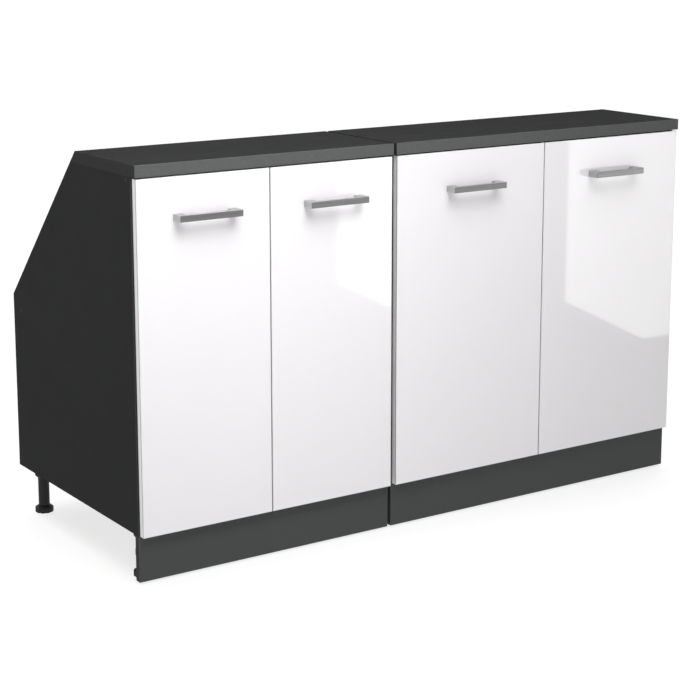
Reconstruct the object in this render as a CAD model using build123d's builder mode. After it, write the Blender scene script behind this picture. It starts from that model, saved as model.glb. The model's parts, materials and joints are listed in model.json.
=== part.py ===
from build123d import *
import os
import math

os.makedirs("parts", exist_ok=True)

# Sloped-ceiling base cabinet: two units side by side, 600 and 800 wide, whose
# backs lean forward above knee height so that they stand under a roof slope.
# Millimetres. Measured along X from the left outer side, along Y from the door
# faces towards the wall, and along Z from the floor. The row's origin is under
# the middle of the whole box, on the floor.

# ---- driving dimensions -------------------------------------------------
left_w = 600.0  # width of the left unit
right_w = 800.0  # width of the right unit
unit_gap = 8.0  # open joint between the two units
board = 16.0  # carcass board thickness
leg_h = 100.0  # floor to carcass
carcass_h = 716.0
top_t = 24.0  # worktop thickness
door_t = 16.0
door_h = 713.0
door_gap = 3.0  # behind the door, between the two doors, under the worktop
reveal = 3.0  # door edge to the unit's outer side
depth = 591.0  # door face to the back edge of the sides
slope_foot_z = 490.0  # the slope starts here at the back
slope_top_y = 259.0  # and reaches the worktop's upper back edge here
top_front_y = -1.0  # worktop front edge
plinth_y = 16.0
plinth_z0 = 4.0
plinth_z1 = 99.0
shelf_z = 452.0  # underside of the shelf
back_y = 561.0  # front of the thin back panel
back_t = 3.0
leg_inset = 32.0  # leg axis from the unit's outer side
leg_front_y = 62.0
leg_rear_y = 537.0
handle_w = 140.0
handle_h = 13.0
handle_out = 30.0
handle_bar = 10.0
handle_post = 18.5
handle_z = 733.5
cup_r = 17.5
cup_depth = 11.5
cup_k = 21.5  # cup centre from the door edge
hinge_z = (200.0, 713.0)
open_deg = 110.0

# ---- derived ------------------------------------------------------------
carcass_z1 = leg_h + carcass_h
top_z = carcass_z1 + top_t
panel_y = door_t + door_gap
total_w = left_w + unit_gap + right_w
x_mid = total_w / 2
y_mid = (depth - handle_out) / 2
rise = top_z - slope_foot_z
run = depth - slope_top_y
slope_len = math.hypot(rise, run)
n_y, n_z = rise / slope_len, run / slope_len  # outward normal of the slope


def y_out(z):
    """Outer face of the slope at height z."""
    return depth - (z - slope_foot_z) * run / rise


def y_in(z, t=board):
    """Inner face of a board of thickness t lying under the slope."""
    y0, z0 = depth - n_y * t, slope_foot_z - n_z * t
    return y0 - (z - z0) * run / rise


def across(x):
    """Plane square to X; local x runs along +Y, local y along +Z."""
    return Plane(origin=(x - x_mid, -y_mid, 0), x_dir=(0, 1, 0), z_dir=(1, 0, 0))


def level(z):
    """Horizontal plane; local x and y run along +X and +Y."""
    return Plane(origin=(-x_mid, -y_mid, z), x_dir=(1, 0, 0), z_dir=(0, 0, 1))


def facing(y):
    """Plane square to Y facing the front; local x along +X, local y along +Z."""
    return Plane(origin=(-x_mid, y - y_mid, 0), x_dir=(1, 0, 0), z_dir=(0, -1, 0))


units = {"left": (0.0, left_w), "right": (left_w + unit_gap, right_w)}

# each door: unit, hinge side (-1 left, +1 right), edge on the hinge side, width
doors = {}
for i, (unit, s) in enumerate(
    (("left", -1), ("left", 1), ("right", -1), ("right", 1)), start=1
):
    x0, w = units[unit]
    dw = (w - 2 * reveal - door_gap) / 2
    doors[i] = (unit, s, x0 + reveal if s < 0 else x0 + w - reveal, dw)

side_planes = []  # (name, x of the inner face, direction into the unit)
for unit, (x0, w) in units.items():
    side_planes.append((f"{unit}_unit_left_side", x0 + board, 1))
    side_planes.append((f"{unit}_unit_right_side", x0 + w - board, -1))

row_y = (panel_y + 37, 483.0)  # shelf-pin rows
row_z = [shelf_z - 3 + 32 * k for k in (-2, -1, 0, 1, 2)]
rail_fix_y = panel_y + 19  # through screws of the front rail
knee_fix = (553.0, 458.5)  # through screws of the knee rail
plate_dz = 16.0  # hinge plate screws above and below the hinge
cam_y = (80.0, 300.0, 520.0)  # cam fittings along the bottom panel's ends
cam_in = 34.0  # cam axis from the board's end

# ---- side panels --------------------------------------------------------
for name, xi, into in side_planes:
    x_low = xi - board if into > 0 else xi
    x_out = xi - board if into > 0 else xi + board
    with BuildPart() as side:
        with BuildSketch(across(x_low)):
            with BuildLine():
                Polyline(
                    (panel_y, leg_h),
                    (depth, leg_h),
                    (depth, slope_foot_z),
                    (y_out(carcass_z1), carcass_z1),
                    (panel_y, carcass_z1),
                    close=True,
                )
            make_face()
        extrude(amount=board)
        # groove for the thin back panel
        with BuildSketch(across(xi)):
            with Locations((back_y + back_t / 2, (leg_h + 500) / 2)):
                Rectangle(back_t + 0.4, 500 - leg_h)
        extrude(amount=-8 * into, mode=Mode.SUBTRACT)
        # two rows of shelf-pin holes
        with BuildSketch(across(xi)):
            with Locations(*[(y, z) for y in row_y for z in row_z]):
                Circle(2.5)
        extrude(amount=-9 * into, mode=Mode.SUBTRACT)
        # hinge plate pilot holes
        with BuildSketch(across(xi)):
            with Locations(
                *[(panel_y + 37, z + d) for z in hinge_z for d in (-plate_dz, plate_dz)]
            ):
                Circle(2.5)
        extrude(amount=-12 * into, mode=Mode.SUBTRACT)
        # cam bolt holes towards the bottom panel
        with BuildSketch(across(xi)):
            with Locations(*[(y, leg_h + board / 2) for y in cam_y]):
                Circle(2.5)
        extrude(amount=-11 * into, mode=Mode.SUBTRACT)
        # through holes and cap recesses of the rail screws
        with BuildSketch(across(x_low)):
            with Locations((rail_fix_y, carcass_z1 - board / 2), knee_fix):
                Circle(2.5)
        extrude(amount=board, mode=Mode.SUBTRACT)
        with BuildSketch(across(x_out)):
            with Locations((rail_fix_y, carcass_z1 - board / 2), knee_fix):
                Circle(5.0)
        extrude(amount=6 * into, mode=Mode.SUBTRACT)
        # connector holes where the two units meet
        if name in ("left_unit_right_side", "right_unit_left_side"):
            with BuildSketch(across(x_low)):
                with Locations((100.0, 760.0), (100.0, 150.0), (500.0, 150.0)):
                    Circle(4.0)
            extrude(amount=board, mode=Mode.SUBTRACT)
    side.part.label = name
    export_step(side.part, f"parts/{name}.step")

# ---- boards between the sides ------------------------------------------
for unit, (x0, w) in units.items():
    xa, xb = x0 + board, x0 + w - board
    xm, wi = (xa + xb) / 2, xb - xa

    with BuildPart() as bottom:
        with BuildSketch(across(xa)):
            with BuildLine():
                Polyline(
                    (panel_y, leg_h),
                    (depth, leg_h),
                    (depth, leg_h + board),
                    (back_y + back_t + 0.2, leg_h + board),
                    (back_y + back_t + 0.2, leg_h + board - 8),
                    (back_y - 0.2, leg_h + board - 8),
                    (back_y - 0.2, leg_h + board),
                    (panel_y, leg_h + board),
                    close=True,
                )
            make_face()
        extrude(amount=wi)
        # cam pockets from below, with the bolt hole from the end
        with BuildSketch(level(leg_h)):
            with Locations(
                *[(x, y) for x in (xa + cam_in, xb - cam_in) for y in cam_y]
            ):
                Circle(7.5)
        extrude(amount=12.5, mode=Mode.SUBTRACT)
        for x, d in ((xa, 1), (xb, -1)):
            with BuildSketch(across(x)):
                with Locations(*[(y, leg_h + board / 2) for y in cam_y]):
                    Circle(4.0)
            extrude(amount=cam_in * d, mode=Mode.SUBTRACT)
    bottom.part.label = f"{unit}_unit_bottom_panel"
    export_step(bottom.part, f"parts/{unit}_unit_bottom_panel.step")

    with BuildPart() as front_rail:
        with BuildSketch(across(xa)):
            with Locations((panel_y + 50, carcass_z1 - board / 2)):
                Rectangle(100, board)
        extrude(amount=wi)
        for x, d in ((xa, 1), (xb, -1)):
            with BuildSketch(across(x)):
                with Locations((rail_fix_y, carcass_z1 - board / 2)):
                    Circle(2.5)
            extrude(amount=35 * d, mode=Mode.SUBTRACT)
        with BuildSketch(level(carcass_z1)):
            with Locations((xa + 60, panel_y + 70), (xb - 60, panel_y + 70)):
                Circle(2.25)
        extrude(amount=-board, mode=Mode.SUBTRACT)
    front_rail.part.label = f"{unit}_unit_front_rail"
    export_step(front_rail.part, f"parts/{unit}_unit_front_rail.step")

    # upright rail at the knee, in front of the thin back panel
    with BuildPart() as knee_rail:
        with BuildSketch(across(xa)):
            with Locations((back_y - board / 2, 458)):
                Rectangle(board, 80)
        extrude(amount=wi)
        for x, d in ((xa, 1), (xb, -1)):
            with BuildSketch(across(x)):
                with Locations(knee_fix):
                    Circle(2.5)
            extrude(amount=35 * d, mode=Mode.SUBTRACT)
    knee_rail.part.label = f"{unit}_unit_knee_rail"
    export_step(knee_rail.part, f"parts/{unit}_unit_knee_rail.step")

    # board that closes the back along the roof slope
    with BuildPart() as slope_board:
        with BuildSketch(across(xa)):
            with BuildLine():
                Polyline(
                    (y_out(carcass_z1), carcass_z1),
                    (depth, slope_foot_z),
                    (y_in(slope_foot_z), slope_foot_z),
                    (y_in(carcass_z1), carcass_z1),
                    close=True,
                )
            make_face()
        extrude(amount=wi)
    slope_board.part.label = f"{unit}_unit_slope_board"
    export_step(slope_board.part, f"parts/{unit}_unit_slope_board.step")

    # thin back panel, standing in the grooves
    with BuildPart() as back:
        with BuildSketch(facing(back_y + back_t)):
            with Locations((xm, (leg_h + board - 8 + 0.2 + 494) / 2)):
                Rectangle(wi + 14, 494 - (leg_h + board - 8 + 0.2))
        extrude(amount=back_t)
    back.part.label = f"{unit}_unit_back_panel"
    export_step(back.part, f"parts/{unit}_unit_back_panel.step")

    with BuildPart() as shelf:
        with BuildSketch(across(xa + 1)):
            with Locations(((39 + 540) / 2, shelf_z + board / 2)):
                Rectangle(540 - 39, board)
        extrude(amount=wi - 2)
    shelf.part.label = f"{unit}_unit_shelf"
    export_step(shelf.part, f"parts/{unit}_unit_shelf.step")

    # worktop, flush with the sides, its back edge bevelled along the slope
    with BuildPart() as worktop:
        with BuildSketch(across(x0)):
            with BuildLine():
                Polyline(
                    (top_front_y, carcass_z1),
                    (y_out(carcass_z1), carcass_z1),
                    (slope_top_y, top_z),
                    (top_front_y, top_z),
                    close=True,
                )
            make_face()
        extrude(amount=w)
        with BuildSketch(level(carcass_z1)):
            with Locations((xa + 60, panel_y + 70), (xb - 60, panel_y + 70)):
                Circle(2.0)
        extrude(amount=15, mode=Mode.SUBTRACT)
    worktop.part.label = f"{unit}_unit_worktop"
    export_step(worktop.part, f"parts/{unit}_unit_worktop.step")

    with BuildPart() as plinth:
        with BuildSketch(across(x0)):
            with Locations((plinth_y + board / 2, (plinth_z0 + plinth_z1) / 2)):
                Rectangle(board, plinth_z1 - plinth_z0)
        extrude(amount=w)
    plinth.part.label = f"{unit}_unit_plinth"
    export_step(plinth.part, f"parts/{unit}_unit_plinth.step")

# ---- carcass fittings, one node for each kind --------------------------
with BuildPart() as shelf_pins:
    for name, xi, into in side_planes:
        with BuildSketch(across(xi)):
            with Locations(*[(y, shelf_z - 3) for y in row_y]):
                Circle(2.5)
        extrude(amount=-8 * into)
        with BuildSketch(across(xi)):
            with Locations(*[(y, shelf_z - 3) for y in row_y]):
                Circle(3.0)
        extrude(amount=8 * into)
shelf_pins.part.label = "shelf_pins"
export_step(shelf_pins.part, "parts/shelf_pins.step")

with BuildPart() as cam_bolts:
    for name, xi, into in side_planes:
        for y in cam_y:
            with BuildSketch(across(xi)):
                with Locations((y, leg_h + board / 2)):
                    Circle(2.5)
            extrude(amount=-11 * into)
            with BuildSketch(across(xi)):
                with Locations((y, leg_h + board / 2)):
                    Circle(3.5)
            extrude(amount=(cam_in - 7.5) * into)
            with BuildSketch(across(xi + (cam_in - 7.5) * into)):
                with Locations((y, leg_h + board / 2)):
                    Circle(1.5)
            extrude(amount=3.4 * into)
            with BuildSketch(across(xi + (cam_in - 4.1) * into)):
                with Locations((y, leg_h + board / 2)):
                    Circle(2.8)
            extrude(amount=2.6 * into)
cam_bolts.part.label = "cam_bolts"
export_step(cam_bolts.part, "parts/cam_bolts.step")

with BuildPart() as cams:
    for name, xi, into in side_planes:
        xc = xi + cam_in * into
        for y in cam_y:
            with BuildSketch(level(leg_h + 0.6)):
                with Locations((xc, y)):
                    Circle(7.3)
            extrude(amount=11.6)
            # slot that takes the bolt head, open towards the side panel
            with BuildSketch(across(xc - 8 * into)):
                with Locations((y, leg_h + board / 2)):
                    Rectangle(4.0, 6.4)
            extrude(amount=4.2 * into, mode=Mode.SUBTRACT)
            with BuildSketch(across(xc - 5.0 * into)):
                with Locations((y, leg_h + board / 2)):
                    Rectangle(6.6, 6.4)
            extrude(amount=4.6 * into, mode=Mode.SUBTRACT)
            # cross recess underneath
            with BuildSketch(level(leg_h + 0.6)):
                with Locations((xc, y)):
                    Rectangle(7, 1.6)
                    Rectangle(1.6, 7)
            extrude(amount=2.2, mode=Mode.SUBTRACT)
cams.part.label = "cam_housings"
export_step(cams.part, "parts/cam_housings.step")

rail_points = []
for name, xi, into in side_planes:
    for y, z in ((rail_fix_y, carcass_z1 - board / 2), knee_fix):
        rail_points.append((xi, into, y, z))

with BuildPart() as rail_screws:
    for xi, into, y, z in rail_points:
        with BuildSketch(across(xi - (board - 6) * into)):
            with Locations((y, z)):
                Circle(2.5)
        extrude(amount=43 * into)
        with BuildSketch(across(xi - (board - 2.6) * into)):
            with Locations((y, z)):
                Circle(4.6)
        extrude(amount=3.4 * into)
        with BuildSketch(across(xi - (board - 2.6) * into)):
            with Locations((y, z)):
                RegularPolygon(2.0, 6)
        extrude(amount=2.4 * into, mode=Mode.SUBTRACT)
rail_screws.part.label = "rail_screws"
export_step(rail_screws.part, "parts/rail_screws.step")

with BuildPart() as rail_caps:
    for xi, into, y, z in rail_points:
        with BuildSketch(across(xi - (board - 0.4) * into)):
            with Locations((y, z)):
                Circle(5.0)
        extrude(amount=2.2 * into)
rail_caps.part.label = "rail_screw_caps"
export_step(rail_caps.part, "parts/rail_screw_caps.step")

with BuildPart() as worktop_screws:
    for unit, (x0, w) in units.items():
        spots = [
            (x, panel_y + 70) for x in (x0 + board + 60, x0 + w - board - 60)
        ]
        with BuildSketch(level(carcass_z1 - board)):
            with Locations(*spots):
                Circle(2.0)
        extrude(amount=30)
        with BuildSketch(level(carcass_z1 - board)):
            with Locations(*spots):
                Circle(4.0)
        extrude(amount=-2.4)
worktop_screws.part.label = "worktop_screws"
export_step(worktop_screws.part, "parts/worktop_screws.step")

# connectors between the units, their collar fills the open joint
with BuildPart() as connectors:
    spots = ((100.0, 760.0), (100.0, 150.0), (500.0, 150.0))
    with BuildSketch(across(left_w - board)):
        with Locations(*spots):
            Circle(4.0)
    extrude(amount=2 * board + unit_gap)
    with BuildSketch(across(left_w)):
        with Locations(*spots):
            Circle(8.0)
    extrude(amount=unit_gap)
    for x, d in ((left_w - board, -1), (left_w + unit_gap + board, 1)):
        with BuildSketch(across(x)):
            with Locations(*spots):
                Circle(7.0)
        extrude(amount=2.5 * d)
connectors.part.label = "unit_connectors"
export_step(connectors.part, "parts/unit_connectors.step")

# ---- legs, feet and plinth clips ---------------------------------------
leg_spots = []
for unit, (x0, w) in units.items():
    for x in (x0 + leg_inset, x0 + w - leg_inset):
        for y in (leg_front_y, leg_rear_y):
            leg_spots.append((x, y))

with BuildPart() as legs:
    with BuildSketch(level(leg_h - 4)):
        with Locations(*leg_spots):
            RectangleRounded(48, 48, 6)
    extrude(amount=4)
    for x, y in leg_spots:
        with BuildSketch(Plane(origin=(x - x_mid, y - y_mid, 0), x_dir=(1, 0, 0), z_dir=(0, -1, 0))):
            with BuildLine():
                Polyline(
                    (0, leg_h - 4),
                    (18.5, leg_h - 4),
                    (18.5, leg_h - 15),
                    (12.2, leg_h - 22),
                    (12.2, 15),
                    (5.05, 15),
                    (5.05, 56),
                    (0, 56),
                    close=True,
                )
            make_face()
        revolve(axis=Axis((x - x_mid, y - y_mid, 0), (0, 0, 1)))
legs.part.label = "leg_columns"
export_step(legs.part, "parts/leg_columns.step")

for i, (x, y) in enumerate(leg_spots, start=1):
    with BuildPart() as foot:
        with BuildSketch(level(0)):
            with Locations((x, y)):
                Circle(20)
                with PolarLocations(21.6, 10):
                    Circle(3.2, mode=Mode.SUBTRACT)
        extrude(amount=11)
        with BuildSketch(level(11)):
            with Locations((x, y)):
                Circle(15.5)
        extrude(amount=3)
        with BuildSketch(level(14)):
            with Locations((x, y)):
                Circle(5)
        extrude(amount=38)
    foot.part.label = f"foot_{i}"
    export_step(foot.part, f"parts/foot_{i}.step")

with BuildPart() as clips:
    for x, y in leg_spots:
        if y != leg_front_y:
            continue
        with BuildSketch(level(44)):
            with Locations((x, y)):
                Circle(15.5)
            with Locations((x, (plinth_y + board + y - 12.8) / 2)):
                Rectangle(12, y - 12.8 - plinth_y - board)
            with Locations((x, y)):
                Circle(12.2, mode=Mode.SUBTRACT)
            with Locations((x, y + 13)):
                Rectangle(17, 10, mode=Mode.SUBTRACT)
        extrude(amount=12)
        with BuildSketch(facing(plinth_y + board + 3)):
            with Locations((x, 50)):
                RectangleRounded(34, 30, 3)
        extrude(amount=3)
clips.part.label = "plinth_clips"
export_step(clips.part, "parts/plinth_clips.step")

# ---- doors and handles --------------------------------------------------
for i, (unit, s, edge, dw) in doors.items():
    xc = edge - s * dw / 2
    cup_x = edge - s * cup_k
    hx = [xc - (handle_w - 12) / 2, xc + (handle_w - 12) / 2]

    with BuildPart() as door:
        with BuildSketch(facing(door_t)):
            with Locations((xc, leg_h + door_h / 2)):
                Rectangle(dw, door_h)
        extrude(amount=door_t)
        fillet(door.edges().group_by(Axis.Y)[0], 1.2)
        # cup bores and dowel holes of the hinges, from behind
        with BuildSketch(facing(door_t)):
            with Locations(*[(cup_x, z) for z in hinge_z]):
                Circle(cup_r)
            with Locations(
                *[(cup_x - s * 9.5, z + d) for z in hinge_z for d in (-22.5, 22.5)]
            ):
                Circle(4.0)
        extrude(amount=cup_depth, mode=Mode.SUBTRACT)
        # through holes of the handle screws
        with BuildSketch(facing(door_t)):
            with Locations(*[(x, handle_z) for x in hx]):
                Circle(2.5)
        extrude(amount=door_t, mode=Mode.SUBTRACT)
    door.part.label = f"door_{i}"
    export_step(door.part, f"parts/door_{i}.step")

    with BuildPart() as handle:
        with BuildSketch(level(handle_z - handle_h / 2)) as profile:
            with BuildLine():
                a, b, p = xc - handle_w / 2, xc + handle_w / 2, handle_post
                Polyline(
                    (a, 0),
                    (a, -handle_out),
                    (b, -handle_out),
                    (b, 0),
                    (b - p, 0),
                    (b - p, -handle_out + handle_bar),
                    (a + p, -handle_out + handle_bar),
                    (a + p, 0),
                    close=True,
                )
            make_face()
            inner = [
                v
                for v in profile.vertices()
                if abs(v.Y + handle_out - handle_bar + y_mid) < 0.01
            ]
            fillet(inner, 8)
        extrude(amount=handle_h)
        front = handle.faces().sort_by(Axis.Y)[0]
        fillet(front.edges(), 1.0)
        # tapped holes for the screws
        with BuildSketch(facing(0)):
            with Locations(*[(x, handle_z) for x in hx]):
                Circle(2.0)
        extrude(amount=11, mode=Mode.SUBTRACT)
    handle.part.label = f"handle_{i}"
    export_step(handle.part, f"parts/handle_{i}.step")

    with BuildPart() as handle_screws:
        with BuildSketch(facing(door_t)):
            with Locations(*[(x, handle_z) for x in hx]):
                Circle(2.0)
        extrude(amount=door_t + 9)
        with BuildSketch(facing(door_t + 2.4)):
            with Locations(*[(x, handle_z) for x in hx]):
                Circle(4.25)
        extrude(amount=2.4)
        fillet(handle_screws.edges().filter_by(GeomType.CIRCLE).group_by(Axis.Y)[-1], 1.0)
        for w_, h_ in ((4.6, 0.9), (0.9, 4.6)):
            with BuildSketch(facing(door_t + 2.4)):
                with Locations(*[(x, handle_z) for x in hx]):
                    Rectangle(w_, h_)
            extrude(amount=1.3, mode=Mode.SUBTRACT)
    handle_screws.part.label = f"handle_{i}_screws"
    export_step(handle_screws.part, f"parts/handle_{i}_screws.step")

    # hinge cups: a pressed bowl with a flange and two press-in dowels
    with BuildPart() as cups:
        for z in hinge_z:
            with BuildSketch(facing(door_t)):
                with Locations((cup_x, z)):
                    Circle(cup_r)
            extrude(amount=cup_depth)
            with BuildSketch(facing(door_t + 1.2)):
                with Locations((cup_x, z)):
                    Circle(19)
                with Locations((cup_x - s * 9.5, z)):
                    RectangleRounded(15, 60, 5)
            extrude(amount=1.2)
            with BuildSketch(facing(door_t + 1.2)):
                with Locations((cup_x, z)):
                    Circle(16)
            extrude(amount=cup_depth, mode=Mode.SUBTRACT)
            with BuildSketch(facing(door_t)):
                with Locations(*[(cup_x - s * 9.5, z + d) for d in (-22.5, 22.5)]):
                    Circle(4.0)
            extrude(amount=10)
    cups.part.label = f"door_{i}_hinge_cups"
    export_step(cups.part, f"parts/door_{i}_hinge_cups.step")

# ---- hinge plates, arms and links --------------------------------------
# Measured from the unit's outer side on the hinge side, the arm's pivot is at
# (21.5, 16.5) and the door turns about (9, 7.2).
pivot_x, pivot_y = 21.5, 16.5
axis_x, axis_y = 9.0, 7.2
hinge_list = []
for i, (unit, s, edge, dw) in doors.items():
    x0, w = units[unit]
    outer = x0 if s < 0 else x0 + w
    for z in hinge_z:
        hinge_list.append((i, s, outer, z))

with BuildPart() as plates:
    for i, s, outer, z in hinge_list:
        def X(x):
            return outer - s * x

        with BuildSketch(across(X(board))):
            with Locations((panel_y + 37, z)):
                RectangleRounded(16, 46, 4)
                Rectangle(50, 11)
            with Locations(*[(panel_y + 37, z + d) for d in (-plate_dz, plate_dz)]):
                Circle(2.5, mode=Mode.SUBTRACT)
        extrude(amount=-2.5 * s)
        with BuildSketch(across(X(board + 2.5))):
            with Locations((panel_y + 37, z)):
                Rectangle(46, 10)
        extrude(amount=-6.5 * s)
plates.part.label = "hinge_plates"
export_step(plates.part, "parts/hinge_plates.step")

with BuildPart() as plate_screws:
    for i, s, outer, z in hinge_list:
        spots = [(panel_y + 37, z + d) for d in (-plate_dz, plate_dz)]
        with BuildSketch(across(outer - s * (board + 2.5))):
            with Locations(*spots):
                Circle(2.5)
        extrude(amount=13 * s)
        with BuildSketch(across(outer - s * (board + 2.5))):
            with Locations(*spots):
                Circle(3.8)
        extrude(amount=-1.8 * s)
plate_screws.part.label = "hinge_plate_screws"
export_step(plate_screws.part, "parts/hinge_plate_screws.step")

with BuildPart() as arms:
    for i, s, outer, z in hinge_list:
        def pt(x, y):
            return (outer - s * x, y)

        for zc in (z - 7.5, z + 6.0):
            with BuildSketch(level(zc)):
                with BuildLine():
                    Polyline(
                        pt(20.5, 88),
                        pt(31, 88),
                        pt(31, 34),
                        pt(24.7, 16.5),
                        pt(18.3, 16.5),
                        pt(18.3, 22),
                        pt(20.5, 30),
                        close=True,
                    )
                make_face()
                with Locations(pt(pivot_x, pivot_y)):
                    Circle(3.2)
                with Locations(pt(pivot_x, pivot_y)):
                    Circle(1.56, mode=Mode.SUBTRACT)
            extrude(amount=1.5)
        with BuildSketch(level(z - 7.5)):
            with BuildLine():
                Polyline(
                    pt(29.5, 88), pt(31, 88), pt(31, 36), pt(29.5, 36), close=True
                )
            make_face()
        extrude(amount=15)
arms.part.label = "hinge_arms"
export_step(arms.part, "parts/hinge_arms.step")

for i, (unit, s, edge, dw) in doors.items():
    x0, w = units[unit]
    outer = x0 if s < 0 else x0 + w

    with BuildPart() as links:
        for z in hinge_z:
            def pt(x, y):
                return (outer - s * x, y)

            with BuildSketch(level(z - 4.5)):
                with Locations(pt(pivot_x, pivot_y)):
                    Circle(3.0)
                with BuildLine():
                    Polyline(
                        pt(18.5, 16.5),
                        pt(18.5, 20.5),
                        pt(20.5, 22.0),
                        pt(36.5, 22.0),
                        pt(38.5, 20.0),
                        pt(38.5, 9.5),
                        pt(35.5, 9.5),
                        pt(35.5, 19.2),
                        pt(24.5, 19.2),
                        pt(24.5, 16.5),
                        close=True,
                    )
                make_face()
            extrude(amount=9)
            # rivet pin through the fork of the arm
            with BuildSketch(level(z - 7.5)):
                with Locations(pt(pivot_x, pivot_y)):
                    Circle(1.5)
            extrude(amount=15)
    links.part.label = f"door_{i}_hinge_links"
    export_step(links.part, f"parts/door_{i}_hinge_links.step")
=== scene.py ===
import json
import math

import bmesh
import bpy
from mathutils import Matrix, Vector

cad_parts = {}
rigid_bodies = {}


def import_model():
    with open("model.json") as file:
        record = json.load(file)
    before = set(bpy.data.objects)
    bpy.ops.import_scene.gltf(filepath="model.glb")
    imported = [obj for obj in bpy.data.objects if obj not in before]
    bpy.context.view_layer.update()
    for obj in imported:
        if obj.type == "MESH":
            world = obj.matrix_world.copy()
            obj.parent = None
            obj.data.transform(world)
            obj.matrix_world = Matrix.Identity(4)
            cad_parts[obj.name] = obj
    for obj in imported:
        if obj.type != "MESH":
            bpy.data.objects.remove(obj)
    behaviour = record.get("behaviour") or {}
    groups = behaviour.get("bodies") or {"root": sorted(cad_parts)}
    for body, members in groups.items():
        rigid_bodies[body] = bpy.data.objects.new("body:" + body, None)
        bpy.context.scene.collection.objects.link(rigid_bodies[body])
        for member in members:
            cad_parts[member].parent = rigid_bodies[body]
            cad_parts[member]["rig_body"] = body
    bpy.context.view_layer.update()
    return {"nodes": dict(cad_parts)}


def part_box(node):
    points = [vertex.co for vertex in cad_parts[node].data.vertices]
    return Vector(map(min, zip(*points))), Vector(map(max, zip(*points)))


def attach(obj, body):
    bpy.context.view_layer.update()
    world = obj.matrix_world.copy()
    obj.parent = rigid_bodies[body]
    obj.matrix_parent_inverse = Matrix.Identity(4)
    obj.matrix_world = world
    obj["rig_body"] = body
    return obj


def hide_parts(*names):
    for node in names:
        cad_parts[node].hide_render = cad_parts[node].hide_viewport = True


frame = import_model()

scene = bpy.context.scene
nodes = frame["nodes"]
X_MID, Y_MID = 704.0, 280.5


def row(x, y, z):
    """Millimetres from the left outer side, the door faces and the floor, to the row frame in metres."""
    return Vector(((x - X_MID) / 1000, (y - Y_MID) / 1000, z / 1000))


def mm(p):
    return p[0] * 1000 + X_MID, p[1] * 1000 + Y_MID, p[2] * 1000


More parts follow.
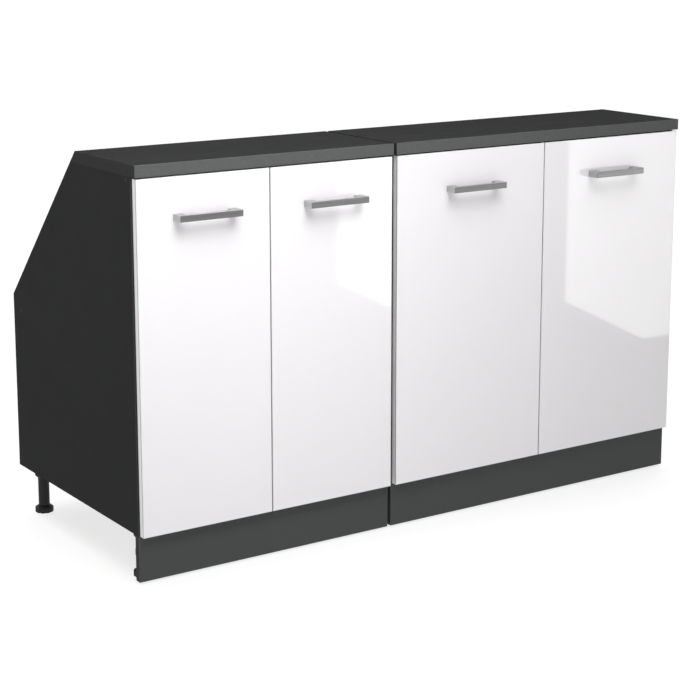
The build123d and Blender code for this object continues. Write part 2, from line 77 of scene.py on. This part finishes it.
# ---- material builder ----------------------------------------------------
class Mat:
    """A Principled material with short helpers for its nodes."""

    def __init__(self, name, **constants):
        self.m = bpy.data.materials.new(name)
        self.m.use_nodes = True
        self.t = self.m.node_tree
        self.t.nodes.clear()
        self.out = self.t.nodes.new("ShaderNodeOutputMaterial")
        self.b = self.t.nodes.new("ShaderNodeBsdfPrincipled")
        self.t.links.new(self.b.outputs[0], self.out.inputs["Surface"])
        for k, v in constants.items():
            self.b.inputs[k.replace("_", " ")].default_value = v
        tc = self.t.nodes.new("ShaderNodeTexCoord")
        self.obj, self.nor = tc.outputs["Object"], tc.outputs["Normal"]

    def put(self, socket, value):
        if hasattr(value, "is_linked"):
            self.t.links.new(value, socket)
        else:
            socket.default_value = value

    def set(self, name, value):
        self.put(self.b.inputs[name], value)

    def attr(self, name):
        n = self.t.nodes.new("ShaderNodeAttribute")
        n.attribute_type = "GEOMETRY"
        n.attribute_name = name
        return n.outputs["Fac"]

    def scaled(self, sx, sy, sz, vec=None):
        n = self.t.nodes.new("ShaderNodeVectorMath")
        n.operation = "MULTIPLY"
        self.put(n.inputs[0], vec or self.obj)
        n.inputs[1].default_value = (sx, sy, sz)
        return n.outputs[0]

    def noise(self, scale, detail=2.0, rough=0.5, vec=None, distortion=0.0, seed=0.0):
        n = self.t.nodes.new("ShaderNodeTexNoise")
        n.noise_dimensions = "4D" if seed else "3D"
        self.put(n.inputs["Vector"], vec or self.obj)
        if seed:
            n.inputs["W"].default_value = seed
        n.inputs["Scale"].default_value = scale
        n.inputs["Detail"].default_value = detail
        n.inputs["Roughness"].default_value = rough
        n.inputs["Distortion"].default_value = distortion
        return n.outputs[0]

    def voronoi(self, scale, feature="F1", vec=None, out="Distance", randomness=1.0):
        n = self.t.nodes.new("ShaderNodeTexVoronoi")
        n.feature = feature
        self.put(n.inputs["Vector"], vec or self.obj)
        n.inputs["Scale"].default_value = scale
        n.inputs["Randomness"].default_value = randomness
        return n.outputs[out]

    def math(self, op, a, b=0.0, clamp=False):
        n = self.t.nodes.new("ShaderNodeMath")
        n.operation = op
        n.use_clamp = clamp
        self.put(n.inputs[0], a)
        self.put(n.inputs[1], b)
        return n.outputs[0]

    def span(self, v, a0, a1, b0, b1):
        n = self.t.nodes.new("ShaderNodeMapRange")
        n.clamp = True
        self.put(n.inputs["Value"], v)
        for k, x in (("From Min", a0), ("From Max", a1), ("To Min", b0), ("To Max", b1)):
            n.inputs[k].default_value = x
        return n.outputs[0]

    def mix(self, fac, a, b, kind="MIX"):
        n = self.t.nodes.new("ShaderNodeMix")
        n.data_type = "RGBA"
        n.blend_type = kind
        self.put(n.inputs[0], fac)
        for sock, v in ((n.inputs[6], a), (n.inputs[7], b)):
            self.put(sock, v if hasattr(v, "is_linked") else (*v, 1.0))
        return n.outputs[2]

    def mixf(self, fac, a, b):
        n = self.t.nodes.new("ShaderNodeMix")
        n.data_type = "FLOAT"
        self.put(n.inputs[0], fac)
        self.put(n.inputs[2], a)
        self.put(n.inputs[3], b)
        return n.outputs[0]

    def ramp(self, v, *stops):
        n = self.t.nodes.new("ShaderNodeValToRGB")
        self.put(n.inputs[0], v)
        e = n.color_ramp.elements
        e[0].position, e[0].color = stops[0][0], (*stops[0][1], 1)
        e[1].position, e[1].color = stops[-1][0], (*stops[-1][1], 1)
        for p, c in stops[1:-1]:
            s = e.new(p)
            s.color = (*c, 1)
        return n.outputs["Color"]

    def bump(self, height, distance, strength=1.0, after=None):
        n = self.t.nodes.new("ShaderNodeBump")
        n.inputs["Strength"].default_value = strength
        n.inputs["Distance"].default_value = distance
        self.put(n.inputs["Height"], height)
        if after is not None:
            self.put(n.inputs["Normal"], after)
        return n.outputs[0]

    def parts(self, vec):
        n = self.t.nodes.new("ShaderNodeSeparateXYZ")
        self.put(n.inputs[0], vec)
        return n.outputs[0], n.outputs[1], n.outputs[2]


def raw_chipboard(m):
    """(colour, height) of a sawn chipboard edge: pressed flakes 1 to 4 mm long, darker glue and fines between them."""
    flat = m.scaled(1.0, 1.0, 2.2)
    cell = m.voronoi(620, vec=flat, out="Color")
    lum = m.parts(cell)[0]
    fine = m.noise(2600, 3, 0.6)
    lum = m.math("ADD", m.math("MULTIPLY", lum, 0.7), m.math("MULTIPLY", fine, 0.35))
    colour = m.ramp(
        lum,
        (0.12, (0.16, 0.085, 0.035)),
        (0.4, (0.36, 0.22, 0.11)),
        (0.7, (0.52, 0.36, 0.20)),
        (0.95, (0.66, 0.50, 0.31)),
    )
    edge = m.voronoi(620, "DISTANCE_TO_EDGE", vec=flat)
    height = m.math("ADD", m.span(edge, 0.0, 0.25, 0.0, 1.0), m.math("MULTIPLY", fine, 0.6))
    return colour, height


def board(name, low, high, rough, texture, band_light_and_shade, edge_tone, specular):
    """Faced chipboard: a printed decor with a fine pressed texture, banded edges, and bare chipboard where no band is
    glued on; band and inside faces also carry painted light and shade.
    """
    m = Mat(name, Specular_IOR_Level=specular)
    raw, edge, band, inside = m.attr("raw"), m.attr("edge"), m.attr("band"), m.attr("inside")
    cloud = m.noise(5.5, 3, 0.55)
    speck = m.noise(1150, 2, 0.6)
    pore = m.noise(420, 3, 0.65, seed=3.0)
    tone = m.math("ADD", m.math("MULTIPLY", speck, 0.5), m.math("MULTIPLY", pore, 0.42))
    tone = m.math("ADD", tone, m.math("MULTIPLY", cloud, 0.08))
    decor = m.ramp(tone, (0.36, low), (0.64, high))
    # The band factor multiplies the decor on band faces: painted light on the carcass front edges, and painted shade on
    # the plinth ends.
    band_painted = m.mix(1.0, decor, band_light_and_shade, "MULTIPLY")
    decor = m.mix(band, decor, band_painted)
    # Inside faces are made four times lighter: painted light for the dim cabinet interior.
    decor = m.mix(inside, decor, m.mix(1.0, decor, (4.0, 4.0, 4.0), "MULTIPLY"))
    # Rounded edges wear towards a lighter edge colour.
    worn = m.span(m.noise(95, 4, 0.7, seed=7.0), 0.42, 0.72, 0.35, 1.0)
    decor = m.mix(m.math("MULTIPLY", edge, worn), decor, edge_tone)
    bare, bare_h = raw_chipboard(m)
    m.set("Base Color", m.mix(raw, decor, bare))
    smudge = m.noise(14, 4, 0.62, seed=11.0)
    r = m.span(smudge, 0.3, 0.7, rough - 0.03, rough + 0.04)
    r = m.math("ADD", r, m.math("MULTIPLY", m.math("SUBTRACT", speck, 0.5), 0.12))
    m.set("Roughness", m.mixf(raw, r, 0.88))
    grain = m.math("ADD", m.noise(1700, 3, 0.55), m.math("MULTIPLY", pore, 0.6))
    smooth = m.bump(grain, texture, 0.55)
    rough_n = m.bump(bare_h, 0.00022, 0.8)
    n = m.t.nodes.new("ShaderNodeMix")
    n.data_type = "VECTOR"
    m.put(n.inputs[0], raw)
    m.put(n.inputs[4], smooth)
    m.put(n.inputs[5], rough_n)
    m.set("Normal", n.outputs[1])
    return m.m


def metal(name, colour, rough, streak=None, stain=0.06, edge_tone=1.12, spots=0.0, lit=False, metallic=1.0):
    """Plated or brushed metal. streak is (along, across) in features per metre, along the piece's X."""
    m = Mat(name, Metallic=metallic)
    edge = m.attr("edge")
    patch = m.noise(60, 4, 0.6)
    if streak:
        along, across = streak
        nx = m.math("ABSOLUTE", m.parts(m.nor)[0])
        side = m.span(nx, 0.6, 0.8, 0.0, 1.0)
        main = m.noise(1, 3, 0.6, m.scaled(along, across, across))
        coarse = m.noise(1, 2, 0.5, m.scaled(along * 0.5, across * 0.3, across * 0.3), seed=2.0)
        turned = m.noise(1, 3, 0.6, m.scaled(across, along, across), seed=4.0)
        lines = m.mixf(side, m.math("ADD", m.math("MULTIPLY", main, 0.6), m.math("MULTIPLY", coarse, 0.4)), turned)
    else:
        lines = m.noise(900, 3, 0.6)
    dark = tuple(c * (1 - stain * 2) for c in colour)
    light = tuple(min(1.0, c * (1 + stain)) for c in colour)
    base = m.mix(m.span(lines, 0.3, 0.7, 0.0, 1.0), dark, light)
    base = m.mix(m.span(patch, 0.45, 0.75, 0.0, 0.25), base, tuple(c * 0.86 for c in colour))
    if spots:
        base = m.mix(m.span(m.noise(260, 4, 0.7, seed=9.0), 0.62, 0.74, 0.0, spots), base, (0.20, 0.17, 0.14))
    if lit:
        # painted light on the handle: the end faces and top faces are lightened as a painted highlight, wide soft
        # darker bands run along the bar, the upper and left-facing edges get a painted highlight and the lower and
        # right-facing edges a painted shade
        nx, ny, nz = m.parts(m.nor)
        band = m.noise(1, 2, 0.5, m.scaled(9, 260, 260), seed=15.0)
        base = m.mix(m.span(band, 0.35, 0.65, 0.0, 0.42), base, tuple(c * 0.62 for c in colour))
        ends = m.math("MAXIMUM", m.span(m.math("ABSOLUTE", nx), 0.8, 0.95, 0.0, 1.0), m.span(nz, 0.8, 0.95, 0.0, 1.0))
        base = m.mix(m.math("MULTIPLY", ends, 0.75), base, tuple(min(1.0, c * 1.55) for c in colour))
        up = m.math("SUBTRACT", nz, nx)
        bright = m.math("MULTIPLY", edge, m.span(up, 0.0, 0.5, 0.0, 0.9))
        dim = m.math("MULTIPLY", edge, m.span(up, -0.5, 0.0, 0.9, 0.0))
        base = m.mix(bright, base, tuple(min(1.0, c * edge_tone) for c in colour))
        base = m.mix(dim, base, tuple(c * 0.28 for c in colour))
    else:
        # The rounded edges of the plain metals are lightened.
        base = m.mix(m.math("MULTIPLY", edge, 0.7), base, tuple(min(1.0, c * edge_tone) for c in colour))
    m.set("Base Color", base)
    r = m.span(lines, 0.25, 0.75, rough - 0.05, rough + 0.07)
    r = m.math("ADD", r, m.math("MULTIPLY", m.math("SUBTRACT", patch, 0.5), 0.12))
    m.set("Roughness", r)
    m.set("Normal", m.bump(lines, 0.00002 if streak else 0.00001, 0.6))
    return m.m


def plastic(name, low, high, rough, grain=0.00003, specular=0.4):
    m = Mat(name, Specular_IOR_Level=specular)
    edge = m.attr("edge")
    cloud = m.noise(45, 3, 0.6)
    base = m.mix(cloud, low, high)
    dust = m.span(m.noise(160, 4, 0.7, seed=5.0), 0.55, 0.8, 0.0, 0.22)
    base = m.mix(dust, base, tuple(min(1.0, h * 2.1 + 0.01) for h in high))
    base = m.mix(m.math("MULTIPLY", edge, 0.55), base, tuple(min(1.0, h * 1.7 + 0.004) for h in high))
    m.set("Base Color", base)
    m.set("Roughness", m.span(m.noise(30, 3, 0.6, seed=6.0), 0.3, 0.7, rough - 0.06, rough + 0.08))
    m.set("Normal", m.bump(m.noise(2200, 2, 0.5), grain, 0.6))
    return m.m


def gloss_front(i, x0, x1, z0, z1, y0):
    """High-gloss white front with a glued edge band, and a satin white facing on its inner side."""
    m = Mat(
        f"white_gloss_{i}",
        Coat_Weight=1.0,
        Coat_Roughness=0.025,
        Coat_IOR=1.5,
        Specular_IOR_Level=0.5,
    )
    x, y, z = m.parts(m.obj)
    ny = m.parts(m.nor)[1]
    inner = m.span(ny, 0.4, 0.6, 0.0, 1.0)
    dx = m.math("MINIMUM", m.math("SUBTRACT", x, x0), m.math("SUBTRACT", x1, x))
    dz = m.math("MINIMUM", m.math("SUBTRACT", z, z0), m.math("SUBTRACT", z1, z))
    d = m.math("MINIMUM", dx, dz)
    seam = m.math("MULTIPLY", m.span(d, 0.00150, 0.00158, 0.0, 1.0), m.span(d, 0.00168, 0.00176, 1.0, 0.0))
    front = m.span(ny, -0.99, -0.98, 1.0, 0.0)
    seam = m.math("MULTIPLY", seam, front)
    back = m.math("SUBTRACT", y, y0)
    joint = m.math("MULTIPLY", m.span(back, 0.0028, 0.0031, 0.0, 1.0), m.span(back, 0.0044, 0.0047, 1.0, 0.0))
    joint = m.math("MULTIPLY", joint, m.span(m.math("ABSOLUTE", ny), 0.1, 0.3, 1.0, 0.0))
    cloud = m.noise(3.2, 3, 0.5, seed=float(i))
    base = m.mix(cloud, (0.788, 0.772, 0.787), (0.810, 0.794, 0.809))
    # The rounded edges are lightened: a painted highlight along the fillets.
    base = m.mix(m.math("MULTIPLY", m.attr("edge"), 0.5), base, (0.90, 0.90, 0.90))
    base = m.mix(m.math("MULTIPLY", seam, 0.45), base, (0.55, 0.55, 0.55))
    # The door's side faces are lightened: painted light on the edges that sit in the gaps.
    side_painted_light = m.span(m.math("ABSOLUTE", ny), 0.1, 0.3, 1.0, 0.0)
    base = m.mix(m.math("MULTIPLY", side_painted_light, 0.85), base, (0.90, 0.89, 0.90))
    base = m.mix(m.math("MULTIPLY", joint, 0.9), base, (0.10, 0.10, 0.10))
    speck = m.noise(1300, 2, 0.6)
    base = m.mix(m.math("MULTIPLY", inner, m.span(speck, 0.3, 0.7, 0.0, 0.25)), base, (0.74, 0.74, 0.735))
    m.set("Base Color", base)
    fingers = m.span(m.noise(24, 5, 0.65, seed=20.0 + i), 0.56, 0.76, 0.0, 0.03)
    r = m.math("ADD", m.span(m.noise(9, 3, 0.5, seed=30.0 + i), 0.3, 0.7, 0.03, 0.06), fingers)
    m.set("Roughness", m.mixf(inner, r, 0.42))
    peel = m.noise(140, 1, 0.4, seed=40.0 + i)
    h = m.mixf(inner, m.math("MULTIPLY", peel, 0.10), speck)
    m.set("Normal", m.bump(h, 0.00003, 0.35))
    return m.m


def worktop_material():
    """Laminated worktop: dark stone-like print with a fine crystal texture; the front is toned far lighter than the
    top, partly as painted light for the lit front, and the ends are toned lighter too.
    """
    m = Mat("worktop_laminate", Specular_IOR_Level=0.012)
    raw, edge, band = m.attr("raw"), m.attr("edge"), m.attr("band")
    speck = m.noise(1500, 3, 0.65)
    grainy = m.voronoi(900, out="Color")
    g = m.parts(grainy)[0]
    cloud = m.noise(7, 4, 0.6)
    tone = m.math("ADD", m.math("MULTIPLY", speck, 0.55), m.math("MULTIPLY", g, 0.35))
    tone = m.math("ADD", tone, m.math("MULTIPLY", cloud, 0.1))
    top = m.ramp(tone, (0.3, (0.0145, 0.0147, 0.0147)), (0.5, (0.0195, 0.0198, 0.0198)), (0.72, (0.0270, 0.0275, 0.0275)))
    # The front tone is far lighter than the top, in part painted light for the lit front face.
    sides = m.ramp(tone, (0.3, (0.080, 0.0812, 0.0812)), (0.72, (0.109, 0.1108, 0.1108)))
    base = m.mix(band, top, sides)
    base = m.mix(m.attr("inside"), base, m.ramp(tone, (0.3, (0.0345, 0.0350, 0.0350)), (0.72, (0.0430, 0.0437, 0.0437))))
    # The edges along the worktop's length and the front-facing rounds are lightened to pale grey: partly wear, partly a
    # painted highlight along the lit edges.
    worn = m.span(m.noise(80, 4, 0.7, seed=8.0), 0.35, 0.65, 0.55, 1.0)
    nx, ny, _ = m.parts(m.nor)
    along = m.span(m.math("ABSOLUTE", nx), 0.25, 0.5, 1.0, 0.06)
    along = m.math("MAXIMUM", along, m.span(ny, -0.5, -0.2, 1.0, 0.0))
    base = m.mix(m.math("MULTIPLY", m.math("MULTIPLY", edge, worn), along), base, (0.34, 0.345, 0.345))
    bare, bare_h = raw_chipboard(m)
    base = m.mix(raw, base, bare)
    m.set("Base Color", base)
    wipe = m.noise(1, 4, 0.6, m.scaled(9, 22, 9), seed=12.0)
    r = m.span(wipe, 0.3, 0.7, 0.54, 0.60)
    r = m.math("ADD", r, m.math("MULTIPLY", m.math("SUBTRACT", speck, 0.5), 0.14))
    m.set("Roughness", m.mixf(raw, r, 0.88))
    crystal = m.math("ADD", m.noise(1400, 3, 0.6, seed=13.0), m.math("MULTIPLY", m.voronoi(1100), 0.5))
    m.set("Normal", m.bump(crystal, 0.00004, 0.5))
    return m.m


def hardboard_material():
    """Thin fibreboard: lacquered in the carcass colour on the inside, bare pressed fibre on the wall side."""
    m = Mat("hardboard_back", Specular_IOR_Level=0.3)
    ny = m.parts(m.nor)[1]
    wall = m.span(ny, -0.5, 0.0, 0.0, 1.0)
    fibre = m.noise(1, 4, 0.65, m.scaled(500, 500, 900))
    long_f = m.noise(1, 3, 0.7, m.scaled(160, 900, 1400), seed=3.0)
    mott = m.math("ADD", m.math("MULTIPLY", fibre, 0.6), m.math("MULTIPLY", long_f, 0.4))
    brown = m.ramp(mott, (0.3, (0.150, 0.085, 0.045)), (0.5, (0.215, 0.130, 0.072)), (0.72, (0.310, 0.205, 0.120)))
    cloud = m.noise(4, 3, 0.5, seed=4.0)
    brown = m.mix(m.span(cloud, 0.3, 0.7, 0.0, 0.35), brown, (0.185, 0.112, 0.062))
    lacquer = m.mix(m.noise(900, 2, 0.6), (0.028, 0.0285, 0.0285), (0.040, 0.041, 0.041))
    m.set("Base Color", m.mix(wall, lacquer, brown))
    m.set("Roughness", m.mixf(wall, m.span(cloud, 0.3, 0.7, 0.38, 0.50), m.span(fibre, 0.3, 0.7, 0.62, 0.82)))
    m.set("Normal", m.bump(m.mixf(wall, m.noise(1500, 2, 0.5), mott), 0.00008, 0.5))
    return m.m


# The carcass's front edges are painted lighter, as painted light (x2.0); the plinth's end faces are painted darker, as
# painted shade (x0.22).
CARCASS = board("carcass_board", (0.0225, 0.0229, 0.0229), (0.0305, 0.0311, 0.0311), 0.52, 0.00004, (2.0, 2.03, 2.03), (0.040, 0.041, 0.041), 0.02)
PLINTH = board("plinth_board", (0.046, 0.0482, 0.0482), (0.064, 0.067, 0.067), 0.46, 0.00004, (0.22, 0.22, 0.22), (0.115, 0.118, 0.118), 0.24)
WORKTOP = worktop_material()
HARDBOARD = hardboard_material()
# The brushed handle's edge factor 2.2 and lit=True paint highlights and shade onto its faces and edges.
BRUSHED = metal("brushed_handle", (0.34, 0.34, 0.343), 0.33, streak=(28, 5200), stain=0.13, edge_tone=2.2, lit=True)
NICKEL = metal("nickel_steel", (0.64, 0.63, 0.61), 0.31, stain=0.07, edge_tone=1.15, metallic=0.7)
ZINC = metal("zinc_steel", (0.60, 0.61, 0.62), 0.36, stain=0.08, edge_tone=1.2, spots=0.12, metallic=0.75)
BLACK = plastic("black_plastic", (0.0085, 0.0086, 0.0088), (0.0135, 0.0136, 0.0138), 0.44)
CAP = plastic("grey_cap", (0.022, 0.0225, 0.0225), (0.028, 0.0285, 0.0285), 0.45, specular=0.10)

# ---- finer meshes that stand for the CAD nodes ---------------------------
BODY_OF = {n: o["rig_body"] for n, o in nodes.items()}


def finer(node, material, width=0.0005, segments=2, angle=32.0, marks=None):
    """A copy of a CAD node's mesh with its flat faces joined and its sharp edges broken by a small round."""
    mesh = nodes[node].data.copy()
    mesh.name = "fine_" + node
    for a in [a.name for a in mesh.attributes if a.name == "custom_normal"]:
        mesh.attributes.remove(mesh.attributes[a])
    ob = bpy.data.objects.new("fine_" + node, mesh)
    scene.collection.objects.link(ob)
    bm = bmesh.new()
    bm.from_mesh(mesh)
    bmesh.ops.remove_doubles(bm, verts=bm.verts, dist=3e-6)
    bmesh.ops.dissolve_degenerate(bm, edges=bm.edges, dist=1e-6)
    bmesh.ops.dissolve_limit(
        bm, angle_limit=math.radians(0.4), use_dissolve_boundaries=False, verts=bm.verts, edges=bm.edges
    )
    bmesh.ops.recalc_face_normals(bm, faces=bm.faces)
    limit = math.radians(angle)
    sharp = [e for e in bm.edges if len(e.link_faces) == 2 and e.calc_face_angle(0) > limit]
    layer = {k: bm.faces.layers.float.new(k) for k in ("edge", "raw", "band", "inside")}
    for f in bm.faces:
        c, n = mm(f.calc_center_median()), f.normal
        raw, band, inside = marks(c, n) if marks else (0.0, 0.0, 0.0)
        f[layer["raw"]], f[layer["band"]], f[layer["inside"]] = raw, band, inside
    if sharp and width > 0:
        made = bmesh.ops.bevel(
            bm,
            geom=sharp,
            offset=width,
            offset_type="OFFSET",
            segments=segments,
            profile=0.5,
            affect="EDGES",
            clamp_overlap=True,
            loop_slide=True,
        )
        for f in made["faces"]:
            f[layer["edge"]] = 1.0
    for f in bm.faces:
        f.smooth = True
    bmesh.ops.triangulate(bm, faces=[f for f in bm.faces if len(f.verts) > 4])
    if node.startswith("foot_"):
        bmesh.ops.dissolve_degenerate(bm, edges=bm.edges, dist=2e-6)
    for e in bm.edges:
        e.smooth = not (len(e.link_faces) == 2 and e.calc_face_angle(0) > math.radians(50))
    bm.to_mesh(mesh)
    bm.free()
    mesh.materials.clear()
    mesh.materials.append(material)
    w = ob.modifiers.new("weighted", "WEIGHTED_NORMAL")
    w.weight = 80
    w.keep_sharp = True
    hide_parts(node)
    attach(ob, BODY_OF[node])
    return ob


def side_marks(into):
    def marks(c, n):
        """The face towards the inside gets painted light, four times lighter; the front edge is banded and painted
        lighter as painted light; the back and bottom edges are bare.
        """
        if abs(n[0]) > 0.7:
            return 0.0, 0.0, 1.0 if n[0] * into > 0 else 0.0
        if n[1] > 0.95 and c[1] > 590 or n[2] < -0.95 and c[2] < 101:
            return 1.0, 0.0, 0.0
        return 0.0, 1.0 if n[1] < -0.9 else 0.0, 0.0

    return marks


def inner_marks(c, n):
    """Boards between the sides: only the front edge is banded, and painted lighter as painted light; the upper and
    lower faces get the interior's painted light.
    """
    if abs(n[2]) > 0.9 or n[1] < -0.9:
        return 0.0, 1.0 if n[1] < -0.9 else 0.0, 1.0 if abs(n[2]) > 0.9 else 0.0
    return 1.0, 0.0, 0.0


def rail_marks(c, n):
    # The rail's upright faces get the interior's painted light; its horizontal faces are bare.
    return (1.0, 0.0, 0.0) if abs(n[2]) > 0.9 else (0.0, 0.0, 1.0)


def top_marks(c, n):
    # Front faces are marked band, for the lighter front tone that is partly painted light; the ends are marked inside,
    # for their lighter end tone.
    return 0.0, 1.0 if n[1] < -0.9 else 0.0, 1.0 if abs(n[0]) > 0.9 else 0.0


def slope_marks(c, n):
    """The board under the slope gets painted light on its inner face, four times lighter."""
    return 0.0, 0.0, 1.0 if n[1] < -0.5 else 0.0


def plinth_marks(c, n):
    # The end faces are marked band; the plinth board darkens them as painted shade.
    return (0.0, 1.0, 0.0) if abs(n[0]) > 0.9 else (0.0, 0.0, 0.0)


for u in ("left", "right"):
    for part, into in (("left_side", 1), ("right_side", -1)):
        finer(f"{u}_unit_{part}", CARCASS, 0.0006, marks=side_marks(into))
    for part in ("bottom_panel", "shelf"):
        finer(f"{u}_unit_{part}", CARCASS, 0.0004, marks=inner_marks)
    finer(f"{u}_unit_front_rail", CARCASS, 0.0004, marks=inner_marks)
    finer(f"{u}_unit_knee_rail", CARCASS, 0.0004, marks=rail_marks)
    finer(f"{u}_unit_slope_board", CARCASS, 0.0004, marks=slope_marks)
    finer(f"{u}_unit_worktop", WORKTOP, 0.0014, 3, marks=top_marks)
    finer(f"{u}_unit_plinth", PLINTH, 0.0008, marks=plinth_marks)
    finer(f"{u}_unit_back_panel", HARDBOARD, 0.0003)

for i in (1, 2, 3, 4):
    a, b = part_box(f"door_{i}")
    white = gloss_front(i, a.x, b.x, a.z, b.z, a.y)
    finer(f"door_{i}", white, 0.0005)
    finer(f"handle_{i}", BRUSHED, 0.0008)
    finer(f"handle_{i}_screws", ZINC, 0.0002)
    finer(f"door_{i}_hinge_cups", NICKEL, 0.0003)
    finer(f"door_{i}_hinge_links", NICKEL, 0.0003)

for n, mat, slot, w in (
    ("shelf_pins", NICKEL, "nickel_steel", 0.0003),
    ("cam_bolts", ZINC, "zinc_steel", 0.0),
    ("cam_housings", ZINC, "zinc_steel", 0.0002),
    ("rail_screws", ZINC, "zinc_steel", 0.0),
    ("rail_screw_caps", CAP, "grey_cap", 0.0004),
    ("worktop_screws", ZINC, "zinc_steel", 0.0002),
    ("unit_connectors", NICKEL, "nickel_steel", 0.0004),
    ("leg_columns", BLACK, "black_plastic", 0.0006),
    ("plinth_clips", BLACK, "black_plastic", 0.0004),
    ("hinge_plates", NICKEL, "nickel_steel", 0.0003),
    ("hinge_plate_screws", ZINC, "zinc_steel", 0.0003),
    ("hinge_arms", NICKEL, "nickel_steel", 0.0003),
):
    finer(n, mat, w)
for i in range(1, 9):
    finer(f"foot_{i}", BLACK, 0.0008)

# ---- floor, light and camera ---------------------------------------------
mesh = bpy.data.meshes.new("floor")
mesh.from_pydata([(-60, -60, 0), (60, -60, 0), (60, 60, 0), (-60, 60, 0)], [], [(0, 1, 2, 3)])
floor = bpy.data.objects.new("floor", mesh)
scene.collection.objects.link(floor)
f = Mat("floor_pale", Specular_IOR_Level=0.2)
f.set("Base Color", (0.26, 0.26, 0.26, 1))
f.set("Roughness", 0.7)
f.set("Emission Color", (1.0, 1.0, 1.0, 1))
f.set("Emission Strength", 0.75)
mesh.materials.append(f.m)
floor.visible_glossy = False


def card(name, plan, height, strength):
    """An upright reflector that stands on the floor and shows only in glossy surfaces."""
    verts = [(x, y, 0.0) for x, y in plan] + [(x, y, height) for x, y in plan]
    k = len(plan)
    me = bpy.data.meshes.new(name)
    me.from_pydata(verts, [], [(i, i + 1, k + i + 1, k + i) for i in range(k - 1)])
    ob = bpy.data.objects.new(name, me)
    scene.collection.objects.link(ob)
    m = bpy.data.materials.new(name)
    m.use_nodes = True
    t = m.node_tree
    t.nodes.clear()
    e = t.nodes.new("ShaderNodeEmission")
    e.inputs["Strength"].default_value = strength
    o = t.nodes.new("ShaderNodeOutputMaterial")
    t.links.new(e.outputs[0], o.inputs["Surface"])
    me.materials.append(m)
    ob.visible_camera = ob.visible_diffuse = ob.visible_shadow = False
    ob.visible_transmission = ob.visible_volume_scatter = False
    return ob


card("card_left", [(1.271, -2.56), (1.183, -2.131), (1.212, -2.131)], 0.50, 2.3)
card("card_right", [(1.737, -1.849), (1.577, -1.293), (1.705, -1.297)], 0.72, 2.3)


def soft(name, at, to, size_x, size_y, power, spread=180):
    d = bpy.data.lights.new(name, "AREA")
    d.shape = "RECTANGLE"
    d.size, d.size_y = size_x, size_y
    d.energy = power
    d.spread = math.radians(spread)
    ob = bpy.data.objects.new(name, d)
    scene.collection.objects.link(ob)
    ob.location = at
    ob.rotation_euler = (Vector(to) - Vector(at)).to_track_quat("-Z", "Y").to_euler()
    ob.visible_camera = False
    return ob


soft("key_left", (-0.80, -1.00, 1.85), (-0.65, -0.28, 0.90), 1.3, 1.2, 5.9, 70)
soft("key_middle", (-0.10, -1.15, 1.95), (-0.10, -0.28, 0.85), 1.8, 1.0, 2.75, 90)
soft("key_right", (0.45, -0.75, 1.60), (0.42, -0.28, 0.85), 1.2, 0.5, 0.9, 75)
soft("fill_front", (-1.9, -3.3, 1.1), (-0.1, -0.2, 0.45), 2.2, 1.6, 2.5)

world = bpy.data.worlds.new("studio")
scene.world = world
world.use_nodes = True
t = world.node_tree
t.nodes.clear()
wout = t.nodes.new("ShaderNodeOutputWorld")
bg = t.nodes.new("ShaderNodeBackground")
t.links.new(bg.outputs[0], wout.inputs["Surface"])
tc = t.nodes.new("ShaderNodeTexCoord")
sep = t.nodes.new("ShaderNodeSeparateXYZ")
t.links.new(tc.outputs["Generated"], sep.inputs[0])


def wspan(sock, a0, a1, b0, b1):
    n = t.nodes.new("ShaderNodeMapRange")
    n.clamp = True
    n.interpolation_type = "SMOOTHSTEP"
    t.links.new(sock, n.inputs["Value"])
    for k, x in (("From Min", a0), ("From Max", a1), ("To Min", b0), ("To Max", b1)):
        n.inputs[k].default_value = x
    return n.outputs[0]


def wmath(op, a, b):
    n = t.nodes.new("ShaderNodeMath")
    n.operation = op
    for s, v in zip(n.inputs, (a, b)):
        if hasattr(v, "is_linked"):
            t.links.new(v, s)
        else:
            s.default_value = v
    return n.outputs[0]


# a pale band at the horizon, dim above it, and a broad soft light high up behind and above
horizon = wspan(sep.outputs[2], 0.08, 0.18, 0.97, 0.0)
high = wspan(sep.outputs[2], 0.42, 0.78, 0.0, 3.3)
rear = wspan(sep.outputs[1], -0.45, 0.35, 0.04, 1.0)
left = wspan(sep.outputs[0], -0.70, 0.15, 0.20, 1.0)
sky = wmath("MULTIPLY", wmath("MULTIPLY", high, rear), left)
below = wspan(sep.outputs[2], -0.09, -0.035, 0.52, 1.0)
level_ = wmath("ADD", wmath("MULTIPLY", wmath("ADD", sky, horizon), below), 0.03)
t.links.new(level_, bg.inputs["Strength"])
bg.inputs["Color"].default_value = (1, 1, 1, 1)

cam_data = bpy.data.cameras.new("camera")
cam_data.sensor_fit = "HORIZONTAL"
cam_data.sensor_width = 36.0
cam_data.lens = 1788.743 * 36.0 / 696.0
cam_data.shift_y = -0.12
cam_data.clip_end = 200.0
cam = bpy.data.objects.new("camera", cam_data)
scene.collection.objects.link(cam)
cam.location = (-2.237397, -3.282264, 1.303995)
cam.rotation_euler = (math.radians(90 - 11.05487), 0.0, math.radians(-33.9328))
scene.camera = cam

scene.view_settings.view_transform = "Standard"
scene.view_settings.look = "None"
scene.view_settings.exposure = 0.0
scene.view_settings.gamma = 1.0
